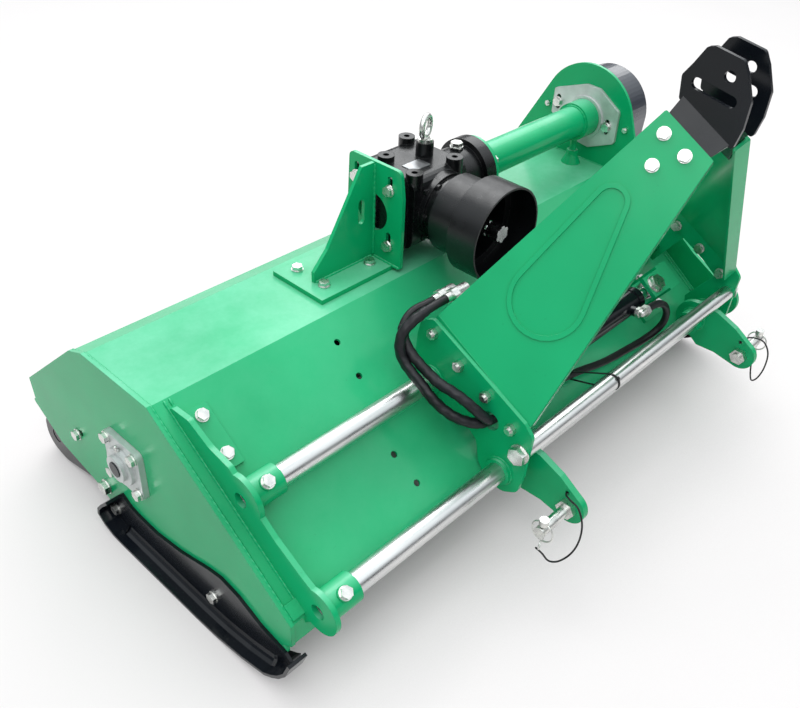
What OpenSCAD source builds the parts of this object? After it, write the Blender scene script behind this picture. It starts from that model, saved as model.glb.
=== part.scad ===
// Flail mower for a tractor three point linkage, with hydraulic side shift.
// X runs along the cutting width with the belt side at +X, +Y is the roller side, +Z is up.
// The design is laid out from the gearbox centre line and the ground, and moved at the end
// so that the origin lies at the tip of the input shaft.

/* [Deck] */
// overall width over both end plates
deck_w = 1339; // [1320:1:1500]
// distance from the plain end plate to the gearbox centre
plain_x = 709; // [690:1:730]
// thickness of the end plates
plate_t = 8; // [6:0.5:10]
// thickness of the deck sheet
sheet_t = 5; // [3:0.5:6]
// height of the deck top above the ground
top_z = 387; // [380:1:400]
// slope of the front of the deck in degrees
slope = 35.3; // [34:0.1:37]

/* [Rotor] */
// height of the rotor axis above the ground
rotor_z = 206; // [200:1:212]
// radius of the rotor tube
rotor_r = 51; // [45:0.5:55]
// radius of the shaft ends of the rotor
stub_r = 15; // [12:0.5:16]
// hammers in each of the four rows
row_n = 7; // [5:1:8]
// length of a hammer from its pin to its edge
hammer_l = 80; // [70:1:84]
// radius of the hammer pins
hpin_r = 8; // [6:0.25:9]

/* [Roller] */
// radius of the rear roller
roller_r = 57; // [45:0.5:60]
// radius of the roller axle
axle_r = 15; // [12:0.5:18]

/* [Drive] */
// height of the cross shaft above the ground
drive_z = 496; // [492:1:500]
// radius of the cross shaft
cross_r = 16; // [14:0.5:18]
// outer radius of the shaft tube
tube_r = 38; // [34:0.5:42]
// radius of the splined input shaft
pto_r = 17.4; // [17:0.1:18]
// length of the input shaft in front of its seal
spline_l = 110; // [100:1:120]
// length of the teeth at the end of the input shaft
tooth_l = 77; // [70:1:85]
// width of the run out behind the teeth
relief_w = 3; // [2:0.5:4]
// width of each of the six teeth of the splined end
tooth_w = 8.65; // [8.4:0.05:8.8]
// radius of the input shaft behind its splined end
seal_r = 21; // [20:0.5:24]
// pitch radius of the upper pulley
up_r = 84; // [78:0.5:86]
// pitch radius of the lower pulley
low_r = 70; // [62:0.5:72]
// number of belts
belt_n = 3; // [2:1:3]

/* [Carriage] */
// outer radius of the slide rails
rail_r = 20; // [18:0.5:21]
// wall of the slide rails
rail_t = 6; // [4:0.5:8]
// thickness of the carriage plates
car_t = 8; // [6:0.5:10]
// distance between the outer faces of the lower hitch arms
hitch_w = 683; // [675:1:690]
// thickness of the lower hitch arms
arm_t = 14; // [12:0.5:16]
// radius of the lower hitch pins
hitch_r = 11; // [10.5:0.1:11.5]
// free length of the lower hitch pins
hitch_l = 76; // [72:1:84]
// radius of the top link holes
link_r = 9.75; // [9.5:0.05:10.5]
// radius of the tie bar between the carriage plates
tie_r = 16; // [14:0.5:18]
// sheet thickness of the channels
chan_t = 6; // [4:0.5:7]
// travel of the side shift
travel = 360; // [200:5:360]

/* [Cylinder] */
// outer radius of the barrel
barrel_r = 27; // [25:0.5:29]
// radius of the piston rod
rod_r = 14; // [11:0.5:16]

/* [Fits] */
// radial clearance of running fits
run = 0.05; // [0.02:0.01:0.1]
// radial clearance of bolt holes
slack = 0.5; // [0.3:0.1:0.8]
// gap between pieces that move past each other
gap = 0.3; // [0.3:0.1:0.6]

/* [Hidden] */
$fn = 48;

green = [0.10, 0.60, 0.40];
dark = [0.06, 0.07, 0.09];
zinc = [0.75, 0.77, 0.80];
silver = [0.66, 0.69, 0.73];
grey = [0.25, 0.27, 0.30];

xa = -plain_x;
xb = deck_w - plain_x;
xai = xa + plate_t;
xbi = xb - plate_t;
bend_y = -181;
nose_y = -518;
nose_z = top_z - (bend_y - nose_y) * tan(slope);
rear_y = 14;
ry = -88;
dy = -93;
pto_y = -326;
arm_y = 20;
arm_z = 68;
roll_y = 225;
roll_z = roller_r + 1;
clamp_r = 114;
clamp_a = 47.5;
swing = 9;

bra_t = 10;
bra_a = xai + 23;
col_l = 62;
col_r = 28;
ura = [-372, 298];
lra = [-548, 185.6];
tie = [-586, 253];
arm_in = 46.5;
half = hitch_w / 2 + arm_in;
cb = xbi - bra_t - col_l - 7;
cx = cb - half;
ca = cx - half;
bush_r = 27;
hitch = [-675, 150.5];
wa = cx - hitch_w / 2;
wb = cx + hitch_w / 2;
top_pin = [-638, 863];
link_gap = 64;
link_a = cx - link_gap / 2 - 8;
// the channels lean from the carriage plates to the top link plates
span = link_a + 4 - ca - car_t;
rise = 427;
ch_a = 28.8;
ch_b = atan2(span, rise) - 1;
ch_l = norm([span, rise]) - 36;
lug_x = 432;
cyl = [-475, 284];
cyl_a = ca + car_t + 26;
cyl_b = lug_x - 70;
cyl_s = 299.4;
cyl_h = 85.9;
eye_h = 14.5;
ear_t = 10;
pin_r = 10;

function unit(v) = v / norm(v);
function lft(v) = [-v[1], v[0]];
function dir(P, i) = unit(P[i + 1] - P[i]);
// open path moved sideways, with mitred corners
function side(P, t) = [for (i = [0 : len(P) - 1])
  let (a = lft(dir(P, max(i - 1, 0))), b = lft(dir(P, min(i, len(P) - 2))))
  P[i] + t * (a + b) / (1 + a * b)];
function flip(P) = [for (i = [len(P) - 1 : -1 : 0]) P[i]];
// strip of sheet along an open path, on the inner side of it
function strip(P, t) = concat(P, flip(side(P, -t)));
// touching point on a circle as seen from an outside point
function touch(P, C, r, s) =
  let (d = P - C, w = atan2(d[1], d[0]) + s * acos(r / norm(d)))
  C + r * [cos(w), sin(w)];
// closed outline with rounded corners, every point is y, z, radius
function corner(a, b, c, r, n) =
  let (u = unit(a - b), w = unit(c - b))
  norm(u + w) < 0.02 ? [b] : let (h = acos(u * w) / 2, d = r / tan(h),
    o = b + unit(u + w) * r / sin(h), p = b + u * d - o, q = b + w * d - o,
    s = atan2(p[1], p[0]), e = atan2(q[1], q[0]),
    t = e - s > 180 ? e - s - 360 : e - s < -180 ? e - s + 360 : e - s)
  [for (i = [0 : n]) o + r * [cos(s + t * i / n), sin(s + t * i / n)]];
function xy(p) = [p[0], p[1]];
function rounded(P, n = 5) = [for (i = [0 : len(P) - 1])
  each P[i][2] == 0 ? [xy(P[i])]
  : corner(xy(P[(i + len(P) - 1) % len(P)]), xy(P[i]), xy(P[(i + 1) % len(P)]), P[i][2], n)];
function hexa(af) = [for (i = [0 : 5]) af / 2 / cos(30) * [cos(60 * i), sin(60 * i)]];
// outline of a loop round two circles in line
function arc(C, r, s, e, n) = [for (i = [0 : n]) let (w = s + (e - s) * i / n)
  C + r * [cos(w), sin(w)]];
// height of the front slope and a point on it
function front_z(y) = top_z - (bend_y - y) * tan(slope);

// design coordinates moved to the tip of the input shaft
module at_origin() {
  translate([0, -pto_y, -drive_z])
    children();
}

// flat outline in y and z, extruded along x
module along_x(x0, x1) {
  translate([x0, 0, 0])
    rotate([90, 0, 90])
      linear_extrude(x1 - x0)
        children();
}

module rod_x(x0, x1, p, r) {
  translate([x0, p[0], p[1]])
    rotate([0, 90, 0])
      cylinder(r = r, h = x1 - x0);
}

module rod_y(y0, y1, x, z, r) {
  translate([x, y1, z])
    rotate([90, 0, 0])
      cylinder(r = r, h = y1 - y0);
}

module spot(p, r) {
  translate(p)
    circle(r);
}

module slot(a, b, r) {
  d = unit(b - a);
  spot(a, r);
  spot(b, r);
  polygon([a + r * lft(d), b + r * lft(d), b - r * lft(d), a - r * lft(d)]);
}

// slot along an arc about a centre, to both sides of its middle angle
module arc_slot(c, r, m, w, h) {
  a = c + r * [cos(m - w), sin(m - w)];
  b = c + r * [cos(m + w), sin(m + w)];
  polygon(concat(arc(c, r + h, m - w, m + w, 12), arc(b, h, m + w + 20, m + w + 160, 8),
    arc(c, r - h, m + w, m - w, 12), arc(a, h, m - w + 200, m - w + 340, 8)));
}

// local frame on the front slope: x, distance down the slope as -y, height above it
module on_slope() {
  translate([0, bend_y, top_z])
    rotate([slope, 0, 0])
      children();
}

// local frame on the plain side channel: x behind its face, y rearwards, z up along it
module on_channel() {
  translate([ca + car_t, -480, 373.5])
    rotate([ch_a, 0, 0])
      rotate([0, ch_b, 0])
        children();
}

module mirrored_pair() {
  children();
  translate([2 * cx, 0, 0])
    mirror([1, 0, 0])
      children();
}

// head with washer above z = 0 and a shank below it
module bolt(l, r = 6) {
  cylinder(r = 2 * r, h = 2.5);
  translate([0, 0, 2.5])
    linear_extrude(1.25 * r)
      polygon(hexa(3.16 * r));
  translate([0, 0, -l])
    cylinder(r = r, h = l + 1);
}

// nut whose upper face lies at z = 0
module nut(r = 6) {
  translate([0, 0, -1.7 * r])
    difference() {
      linear_extrude(1.7 * r)
        polygon(hexa(3.16 * r));
      translate([0, 0, -1])
        cylinder(r = r + run, h = 1.7 * r + 2);
    }
}

// bolt through a grip of known thickness, with its nut on the far side
module bolted(g, r = 6) {
  bolt(g + 1.7 * r + 4, r);
  translate([0, 0, -g])
    nut(r);
}

module face_minus_x(x, p) {
  translate([x, p[0], p[1]])
    rotate([0, -90, 0])
      children();
}

module face_plus_x(x, p) {
  translate([x, p[0], p[1]])
    rotate([0, 90, 0])
      children();
}

// Deck sheet and end plates
deck_path = [[nose_y, 100], [nose_y, nose_z], [bend_y, top_z], [rear_y, top_z], [60, top_z - 19],
  [268, 188]];
foot_s = [55, 129];
spare = [[-336, 55], [-338, 129], [-371, 283], [-365, 348]];
gb_feet = [[-268, -38], [-268, -116], [-146, -116]];
lug_bx = lug_x + 26;
lug_s = [272, 340];

module deck_shell() at_origin() {
  color(green)
    difference() {
      along_x(xai, xbi)
        polygon(strip(deck_path, sheet_t));
      on_slope() {
        for (x = [-640, xbi - 38], s = foot_s)
          translate([x, -s, -sheet_t - 1])
            cylinder(r = 6 + slack, h = sheet_t + 2);
        for (p = spare)
          translate([p[0], -p[1], -sheet_t - 1])
            cylinder(r = 6 + slack, h = sheet_t + 2);
        for (s = lug_s)
          translate([lug_bx, -s, -sheet_t - 1])
            cylinder(r = 6 + slack, h = sheet_t + 2);
      }
      for (p = gb_feet)
        translate([p[0], p[1], top_z - sheet_t - 1])
          cylinder(r = 6 + slack, h = sheet_t + 2);
    }
}

skid_bolt = [[-18, 40], [-321, 51]];
bear_d = 41.5;

module plate_outline() {
  polygon(concat(side(deck_path, 2),
    rounded([[287, 140, 6], [183, 71, 20], [54, 46, 30], [-10, 14, 12], [-400, 20, 60],
      [-480, 38, 20], [-516, 82, 10]])));
}

module plate_holes() {
  spot([ry, rotor_z], stub_r + 14);
  for (i = [-1, 1], j = [-1, 1])
    spot([ry + i * bear_d, rotor_z + j * bear_d], 6 + slack);
  for (p = skid_bolt)
    spot(p, 6 + slack);
  spot([arm_y, arm_z], 8 + slack);
  arc_slot([arm_y, arm_z], clamp_r, clamp_a, swing, 6 + slack);
}

module side_plate_plain() at_origin() {
  color(green)
    along_x(xa, xai)
      difference() {
        plate_outline();
        plate_holes();
      }
}

dc = [dy, drive_z];
lobe_r = 127;
ta = [184, 262];
tb = [-300, front_z(-300) + 2];
tc = touch(tb, dc, lobe_r, -1);
lip = tc + 0.35 * (tb - tc) + [2, 0];
slide_bolt = [[81, 15], [-66, -6]];
cover_tab = [[114, 0], [-114, 0], [112, -200], [-106, -200]];

module side_plate_belt() at_origin() {
  color(green) {
    along_x(xbi, xb)
      difference() {
        union() {
          plate_outline();
          spot(dc, lobe_r);
          polygon([ta, touch(ta, dc, lobe_r, 1), touch(tb, dc, lobe_r, -1), tb, [-100, 300]]);
        }
        plate_holes();
        spot(dc, 48);
        for (p = slide_bolt)
          slot(dc + p + [0, 14], dc + p - [0, 14], 6 + slack);
        for (p = cover_tab)
          spot(dc + p, 4 + slack);
      }
    along_x(xb - 1, xb + 20)
      polygon([lip, tb + [6, 0], tb + [12, 4], lip + [6, 1]]);
  }
}

// Rail brackets, rails and collars
module bracket_outline(nose) {
  difference() {
    union() {
      polygon(rounded([[-192, front_z(-192) - 4, 0], [-206, 384, 10], [-250, 386, 18],
        [-300, 361, 30], [-348, 352, 10], [-410, 300, 20], [-452, 270, 40], [-514, 236, 30],
        [-560, 215, 10], [-530, 145, 6], [nose_y, 132, 0], [nose_y, nose_z, 0]]));
      spot(ura, 48);
      spot(lra, 43);
    }
    polygon([[-100, 440], [bend_y, top_z], [nose_y, nose_z], [nose_y, 60], [-400, 60]]);
  }
}

// plate with its collars and bolted foot, lying from x = 0 inwards
module bracket(h) {
  difference() {
    union() {
      along_x(0, bra_t)
        bracket_outline();
      rod_x(bra_t, bra_t + col_l, ura, col_r);
      rod_x(bra_t, bra_t + col_l, lra, col_r);
      for (p = [ura, lra])
        translate([bra_t + col_l / 2, p[0], p[1]])
          rotate([slope, 0, 0])
            cylinder(r = 13, h = col_r + 3);
      on_slope()
        translate([bra_t - 4, -154, 0])
          cube([52, 118, 8]);
    }
    for (p = [ura, lra]) {
      rod_x(bra_t, bra_t + col_l + 1, p, rail_r + 0.02);
      rod_x(-1, bra_t + 1, p, rail_r - rail_t);
      translate([bra_t + col_l / 2, p[0], p[1]])
        rotate([slope, 0, 0])
          cylinder(r = 6 + run, h = 60);
    }
    on_slope()
      for (s = foot_s)
        translate([h, -s, -1])
          cylinder(r = 6 + slack, h = 10);
  }
}

module rail_bracket_plain() at_origin() {
  color(green) {
    translate([bra_a, 0, 0])
      bracket(-640 - bra_a);
    on_slope()
      translate([xai, -408, 0])
        cube([bra_a - xai, 28, 8]);
  }
}

module rail_bracket_belt() at_origin() {
  color(green)
    translate([xbi, 0, 0])
      mirror([1, 0, 0])
        bracket(38);
}

rail_a = bra_a + bra_t;
rail_b = xbi - bra_t;
col_x = [rail_a + col_l / 2, rail_b - col_l / 2];

module rail(p) {
  difference() {
    rod_x(rail_a, rail_b, p, rail_r);
    rod_x(rail_a - 1, rail_b + 1, p, rail_r - rail_t);
    for (x = col_x)
      translate([x, p[0], p[1]])
        rotate([slope, 0, 0])
          cylinder(r = 6 + run, h = 60);
  }
}

module upper_rail() at_origin() {
  color(zinc)
    rail(ura);
}

module lower_rail() at_origin() {
  color(zinc)
    rail(lra);
}

module collar_bolts() at_origin() {
  color(zinc)
    for (x = col_x, p = [ura, lra])
      translate([x, p[0], p[1]])
        rotate([slope, 0, 0])
          translate([0, 0, col_r + 3])
            bolt(col_r + 3 - rail_r + rail_t);
}

// Skids
skid_t = 6;
skid_w = 36;
bend_r = 16;
sole = [[-36, 90], [-12, 66], [4, 46], [8, 28], [-12, 12], [-40, 2], [-70, 0], [-304, 0],
  [-361, 3], [-430, 14], [-489, 30], [-510, 44.5], [-528, 61], [-545, 84], [-558, 118]];

// hollow of the bend between the plate and the sole
module skid_bend() {
  S = concat([(sole[5] + sole[6]) / 2], [for (i = [6 : 10]) sole[i]], [(sole[10] + sole[11]) / 2]);
  in = side(S, -1);
  m = len(S);
  P = flip(concat([[-3, -3], [-skid_t - bend_r - 2, -3]],
    [for (k = [1 : 4]) [-skid_t - bend_r * (1 - sin(18 * k)), bend_r * (1 - cos(18 * k))]],
    [[-3, bend_r + 2]]));
  n = len(P);
  polyhedron([for (i = [0 : m - 1], q = P)
      let (w = S[i] + (in[i] - S[i]) * (skid_t + q[1])) [q[0], w[0], w[1]]],
    concat([[for (k = [0 : n - 1]) k]],
      [for (i = [0 : m - 2], k = [0 : n - 1])
        [i * n + k, (i + 1) * n + k, (i + 1) * n + (k + 1) % n, i * n + (k + 1) % n]],
      [[for (k = [n - 1 : -1 : 0]) (m - 1) * n + k]]));
}

module skid_shape(w) {
  low = side(sole, -2);
  along_x(-skid_t, 0)
    difference() {
      polygon(rounded(concat([for (i = [0 : 12]) [low[i][0], low[i][1], 0]],
        [[-508, 77, 6], [-448, 88, 30], [-390, 112, 30], [-345, 119, 20], [-310, 112, 20],
          [-225, 86, 40], [-150, 73, 30], [-95, 75, 20], [-66, 80, 10], [-41, 96, 4]])));
      for (p = skid_bolt)
        spot(p, 6 + slack);
    }
  skid_bend();
  difference() {
    along_x(-skid_w, w)
      polygon(strip(sole, skid_t));
    translate([0, -700, -1])
      cube([60, 185, 300]);
    translate([0, -60, -1])
      cube([60, 120, 200]);
  }
}

module skid_plain() at_origin() {
  color(dark)
    translate([xa, 0, 0])
      skid_shape(22);
}

module skid_belt() at_origin() {
  color(dark)
    translate([xb, 0, 0])
      mirror([1, 0, 0])
        skid_shape(plate_t - gap);
}

module deck_bolts() at_origin() {
  color(zinc)
    on_slope() {
      for (x = [-640, xbi - 38], s = foot_s)
        translate([x, -s, 8])
          bolted(8 + sheet_t);
      for (s = lug_s)
        translate([lug_bx, -s, 8])
          bolted(8 + sheet_t);
    }
  color(zinc)
    for (p = skid_bolt) {
      face_minus_x(xa - skid_t, p)
        bolted(skid_t + plate_t);
      face_plus_x(xb + skid_t, p)
        bolted(skid_t + plate_t);
    }
}

// Rotor with its bearings
fl_t = 12;
fl_b = 16;

module flange_bearing() {
  difference() {
    union() {
      linear_extrude(fl_t)
        difference() {
          polygon(rounded([[-54, -54, 12], [54, -54, 12], [54, 54, 12], [-54, 54, 12]]));
          for (i = [-1, 1], j = [-1, 1])
            translate([i * bear_d, j * bear_d])
              circle(6 + slack);
        }
      cylinder(r = 38, h = fl_t + 8);
      cylinder(r = 26, h = fl_t + fl_b);
    }
    translate([0, 0, -1])
      cylinder(r = stub_r + run, h = 40);
  }
}

module bearing_plain() at_origin() {
  color(silver)
    face_minus_x(xa, [ry, rotor_z])
      flange_bearing();
}

module bearing_belt() at_origin() {
  color(silver)
    face_plus_x(xb, [ry, rotor_z])
      flange_bearing();
}

module bearing_bolts() at_origin() {
  color(zinc)
    for (p = slide_bolt)
      face_minus_x(end_x, dc + p)
        bolted(plate_t + xbi - end_x);
  color(zinc)
    for (i = [-1, 1], j = [-1, 1]) {
      face_minus_x(xa - fl_t, [ry + i * bear_d, rotor_z + j * bear_d])
        bolted(fl_t + plate_t);
      face_plus_x(xb + fl_t, [ry + i * bear_d, rotor_z + j * bear_d])
        bolted(fl_t + plate_t);
    }
}

rx0 = xai + 14;
rx1 = xbi - 14;
pulley_x = xb + fl_t + fl_b + 3;
pulley_w = 17 * belt_n + 5;
hp_r = rotor_r + 26;
lug_t = 8;
ham_t = 16;
head_w = 80;
pitch = (rx1 - rx0 - 130) / row_n;
function ham_x(k, i) = rx0 + 65 + pitch * (i + 0.25 + 0.5 * (k % 2));

// local frame of a hammer: pin at the origin, hammer along +z, axis of the rotor along x
module at_hammer(k, i) {
  translate([ham_x(k, i), ry, rotor_z])
    rotate([90 * k + 20, 0, 0])
      translate([0, 0, hp_r])
        children();
}

module rotor() at_origin() {
  color(dark)
    difference() {
      union() {
        rod_x(rx0, rx1, [ry, rotor_z], rotor_r);
        rod_x(xa - fl_t - fl_b - 2, rx0 + 1, [ry, rotor_z], stub_r);
        rod_x(rx1 - 1, pulley_x + pulley_w + 4, [ry, rotor_z], stub_r);
        for (k = [0 : 3], i = [0 : row_n - 1], s = [-1, 1])
          at_hammer(k, i)
            translate([s * (ham_t / 2 + gap + lug_t / 2) - lug_t / 2, 0, 0])
              along_x(0, lug_t) {
                spot([0, 0], hpin_r + 10);
                translate([-hpin_r - 10, -30])
                  square([2 * hpin_r + 20, 30]);
              }
      }
      for (k = [0 : 3], i = [0 : row_n - 1])
        at_hammer(k, i)
          rotate([0, 90, 0])
            cylinder(r = hpin_r + run, h = 60, center = true);
    }
}

module hammer_pins() at_origin() {
  l = ham_t + 2 * gap + 2 * lug_t;
  color(zinc)
    for (k = [0 : 3], i = [0 : row_n - 1])
      at_hammer(k, i)
        rotate([0, 90, 0]) {
          translate([0, 0, -l / 2])
            cylinder(r = hpin_r, h = l + 12);
          translate([0, 0, -l / 2 - 9])
            linear_extrude(9)
              polygon(hexa(3 * hpin_r));
          translate([0, 0, l / 2])
            linear_extrude(9)
              polygon(hexa(3 * hpin_r));
        }
}

// shank between the lugs and a wide bent head
module hammer() {
  difference() {
    union() {
      translate([-ham_t / 2, 0, 0])
        rotate([0, 90, 0])
          cylinder(r = hpin_r + 10, h = ham_t);
      translate([-ham_t / 2, -14, 0])
        cube([ham_t, 28, hammer_l - 20]);
      along_x(-head_w / 2, head_w / 2)
        polygon([[-15, hammer_l - 30], [15, hammer_l - 36], [24, hammer_l - 6],
          [18, hammer_l], [-12, hammer_l]]);
    }
    translate([-40, 0, 0])
      rotate([0, 90, 0])
        cylinder(r = hpin_r + run, h = 80);
  }
}

module hammer_row(k) {
  color(grey)
    for (i = [0 : row_n - 1])
      at_hammer(k, i)
        hammer();
}

module hammers_a() at_origin() {
  hammer_row(0);
}

module hammers_b() at_origin() {
  hammer_row(1);
}

module hammers_c() at_origin() {
  hammer_row(2);
}

module hammers_d() at_origin() {
  hammer_row(3);
}

// Rear roller on swinging arms
ra_t = 8;

module arm_shape() {
  difference() {
    polygon(rounded([[-8, 66, 12], [60, 40, 20], [200, 8, 40], [268, 20, 40], [262, 92, 30],
      [180, 110, 20], [118, 176, 16], [72, 160, 16]]));
    spot([arm_y, arm_z], 8 + run);
    spot([arm_y, arm_z] + clamp_r * [cos(clamp_a), sin(clamp_a)], 6 + slack);
    spot([roll_y, roll_z], axle_r + run);
  }
}

module roller_arms() at_origin() {
  color(dark) {
    along_x(xai + gap, xai + gap + ra_t)
      arm_shape();
    along_x(xbi - gap - ra_t, xbi - gap)
      arm_shape();
  }
}

module roller_pivots() at_origin() {
  g = plate_t + 2 * gap + ra_t;
  color(zinc) {
    face_minus_x(xa, [arm_y, arm_z])
      bolted(g, 8);
    face_plus_x(xb, [arm_y, arm_z])
      bolted(g, 8);
  }
}

module roller_clamps() at_origin() {
  g = plate_t + 2 * gap + ra_t;
  p = [arm_y, arm_z] + clamp_r * [cos(clamp_a), sin(clamp_a)];
  color(zinc) {
    face_minus_x(xa - gap, p)
      bolted(g);
    face_plus_x(xb + gap, p)
      bolted(g);
  }
}

module roller() at_origin() {
  a = xai + gap + ra_t;
  b = xbi - gap - ra_t;
  color(dark) {
    rod_x(a + 8, b - 8, [roll_y, roll_z], roller_r);
    rod_x(a - ra_t + 1, b + ra_t - 1, [roll_y, roll_z], axle_r);
  }
}

// Gearbox on its bracket
up_x = -118;
up_t = 8;
base_t = 10;
gb_bolt = [[45, 60], [-45, 60], [45, -60], [-45, -60]];

module gearbox_bracket() at_origin() {
  color(green) {
    difference() {
      translate([-306, -152, top_z])
        cube([306 + up_x + up_t, 142, base_t]);
      for (p = gb_feet)
        translate([p[0], p[1], top_z - 1])
          cylinder(r = 6 + slack, h = base_t + 2);
    }
    along_x(up_x, up_x + up_t)
      difference() {
        polygon(rounded([[dy - 80, top_z + base_t, 0], [dy - 80, top_z + 160, 10],
          [dy - 72, drive_z + 106, 12], [dy + 66, drive_z + 106, 12],
          [dy + 74, top_z + base_t, 0]]));
        for (p = gb_bolt)
          slot(dc + p + [0, 22], dc + p, 6 + slack);
        spot(dc, 40);
      }
    translate([0, dy + 4, 0])
      rotate([90, 0, 0])
        linear_extrude(8)
          difference() {
            polygon([[-276, top_z + base_t], [up_x, top_z + base_t], [up_x, drive_z + 104],
              [up_x - 34, drive_z + 104], [-240, top_z + base_t + 60],
              [-276, top_z + base_t + 22]]);
            slot([up_x - 34, drive_z + 28], [up_x - 34, drive_z - 8], 8);
          }
  }
}

module gearbox_bolts() at_origin() {
  color(zinc) {
    for (p = gb_feet)
      translate([p[0], p[1], top_z + base_t])
        bolted(base_t + sheet_t);
    for (p = gb_bolt)
      face_minus_x(up_x, dc + p)
        bolt(up_t + 22);
  }
}

gb_top = drive_z + 77;
tab_p = [[-54, -64], [-70, -156], [43, -159], [43, -28]];
neck_x = 184;
neck_r = 70;
in_y = -178;
eye_p = [22, -97];

module gearbox_housing() at_origin() {
  color(dark)
    difference() {
      union() {
        along_x(up_x + up_t, up_x + up_t + 24)
          polygon(rounded([[dy - 64, drive_z - 80, 14], [dy + 64, drive_z - 80, 14],
            [dy + 64, drive_z + 80, 14], [dy - 64, drive_z + 80, 14]]));
        along_x(up_x + up_t + 24, 66)
          polygon(rounded([[dy - 80, drive_z - 72, 24], [dy + 78, drive_z - 72, 24],
            [dy + 78, gb_top, 24], [dy - 80, gb_top, 24]]));
        for (p = tab_p)
          translate([p[0], p[1], gb_top - 40])
            cylinder(r = 17, h = 52);
        translate([eye_p[0], eye_p[1], gb_top - 20])
          cylinder(r = 18, h = 50);
        rod_x(60, neck_x - 30, dc, 58);
        rod_x(neck_x - 30, neck_x, dc, neck_r);
        translate([127, dy, drive_z + 30])
          cylinder(r = 14, h = 32);
        rod_y(in_y - 6, in_y + 60, 0, drive_z, 72);
        rod_y(in_y - 28, in_y + 10, 0, drive_z, 66);
        rod_y(in_y - 38, in_y, 0, drive_z, 40);
        for (w = [0 : 60 : 300])
          rod_y(in_y - 12, in_y + 10, 62 * cos(w), drive_z + 62 * sin(w), 9);
        for (z = [-50, 50])
          translate([-60, dy - 84, drive_z + z - 4])
            cube([110, 166, 8]);
      }
      rod_x(110, neck_x + 1, dc, cross_r + run);
      rod_y(in_y - 60, -110, 0, drive_z, seal_r + run);
      for (p = gb_bolt)
        rod_x(up_x + up_t - 1, up_x + up_t + 23, dc + p, 6 + run);
      for (w = [30 : 60 : 330])
        rod_x(neck_x - 20, neck_x + 1, dc + 54 * [cos(w), sin(w)], 5 + run);
      for (p = tab_p)
        translate([p[0], p[1], gb_top - 8])
          cylinder(r = 6, h = 30);
      translate([eye_p[0], eye_p[1], gb_top + 8])
        cylinder(r = 8 + run, h = 30);
      translate([127, dy, drive_z + 48])
        cylinder(r = 7 + run, h = 20);
    }
}

module filler_plugs() at_origin() {
  color(zinc)
    translate([127, dy, drive_z + 62])
      bolt(12, 7);
}

module lifting_eye() at_origin() {
  color(zinc)
    translate([eye_p[0], eye_p[1], gb_top + 30]) {
      cylinder(r = 16, h = 7);
      translate([0, 0, -18])
        cylinder(r = 8, h = 20);
      translate([0, 0, 30])
        rotate([90, 0, 20])
          rotate_extrude()
            translate([21, 0])
              circle(6);
    }
}

module blank_plate() at_origin() {
  color(silver)
    translate([-50, dy - 43, gb_top])
      cube([48, 32, 1.5]);
}

gu_r = 97;
root_r = pto_r - 2.7;
gu_y = in_y - 28;

module shaft_guard() at_origin() {
  color(dark)
    difference() {
      union() {
        rod_y(-264, gu_y, 0, drive_z, 80);
        rod_y(-274, -262, 0, drive_z, 88);
        rod_y(-336, -268, 0, drive_z, gu_r);
      }
      rod_y(-340, -272, 0, drive_z, gu_r - 4);
      rod_y(-275, gu_y - 4, 0, drive_z, 76);
      rod_y(-275, gu_y + 5, 0, drive_z, 41);
    }
}

module input_shaft() at_origin() {
  color(zinc)
    difference() {
      union() {
        rod_y(pto_y, -120, 0, drive_z, root_r);
        rod_y(pto_y + tooth_l + relief_w, -120, 0, drive_z, pto_r);
        rod_y(pto_y + spline_l, -120, 0, drive_z, seal_r);
        intersection() {
          rod_y(pto_y, pto_y + tooth_l, 0, drive_z, pto_r);
          for (w = [0 : 60 : 120])
            translate([0, pto_y - 1, drive_z])
              rotate([0, w, 0])
                translate([-tooth_w / 2, 0, -pto_r - 2])
                  cube([tooth_w, tooth_l + 2, 2 * pto_r + 4]);
        }
      }
      translate([0, pto_y + 27, drive_z])
        rotate([90, 0, 0])
          rotate_extrude()
            translate([pto_r + 1.5, 0])
              circle(4.5);
    }
}

// Cross shaft in its tube, with the slotted bearing plate
tf_t = 12;
end_x = xbi - 8;

module shaft_tube() at_origin() {
  color(green)
    difference() {
      union() {
        rod_x(neck_x, neck_x + tf_t, dc, 66);
        rod_x(neck_x, end_x, dc, tube_r);
        rod_x(end_x - 52, end_x, dc, tube_r + 7);
      }
      rod_x(neck_x - 1, end_x + 1, dc, tube_r - 6);
      for (w = [30 : 60 : 330])
        rod_x(neck_x - 1, neck_x + tf_t + 1, dc + 54 * [cos(w), sin(w)], 5 + slack);
    }
}

module tube_bolts() at_origin() {
  color(zinc)
    for (w = [30 : 60 : 330])
      face_plus_x(neck_x + tf_t, dc + 54 * [cos(w), sin(w)])
        bolt(tf_t + 18, 5);
}

module bearing_slide() at_origin() {
  color(silver)
    difference() {
      union() {
        along_x(end_x, xbi)
          difference() {
            translate(dc)
              polygon(rounded([[96, 46, 6], [8, 79, 14], [-30, 78, 14], [-92, 38, 10],
                [-93, -41, 10], [-23, -72, 14], [23, -66, 14], [97, -16, 6]]));
            for (p = slide_bolt)
              slot(dc + p + [0, 12], dc + p - [0, 12], 6 + slack);
          }
        rod_x(end_x - 5, end_x, dc, tube_r + 14);
        rod_x(xbi - 1, xb + 14, dc, 40);
      }
      rod_x(end_x - 8, end_x, dc, tube_r + 7.02);
      rod_x(end_x - 9, xb + 20, dc, cross_r + run);
    }
}

adj = [end_x - 30, dy];

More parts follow.
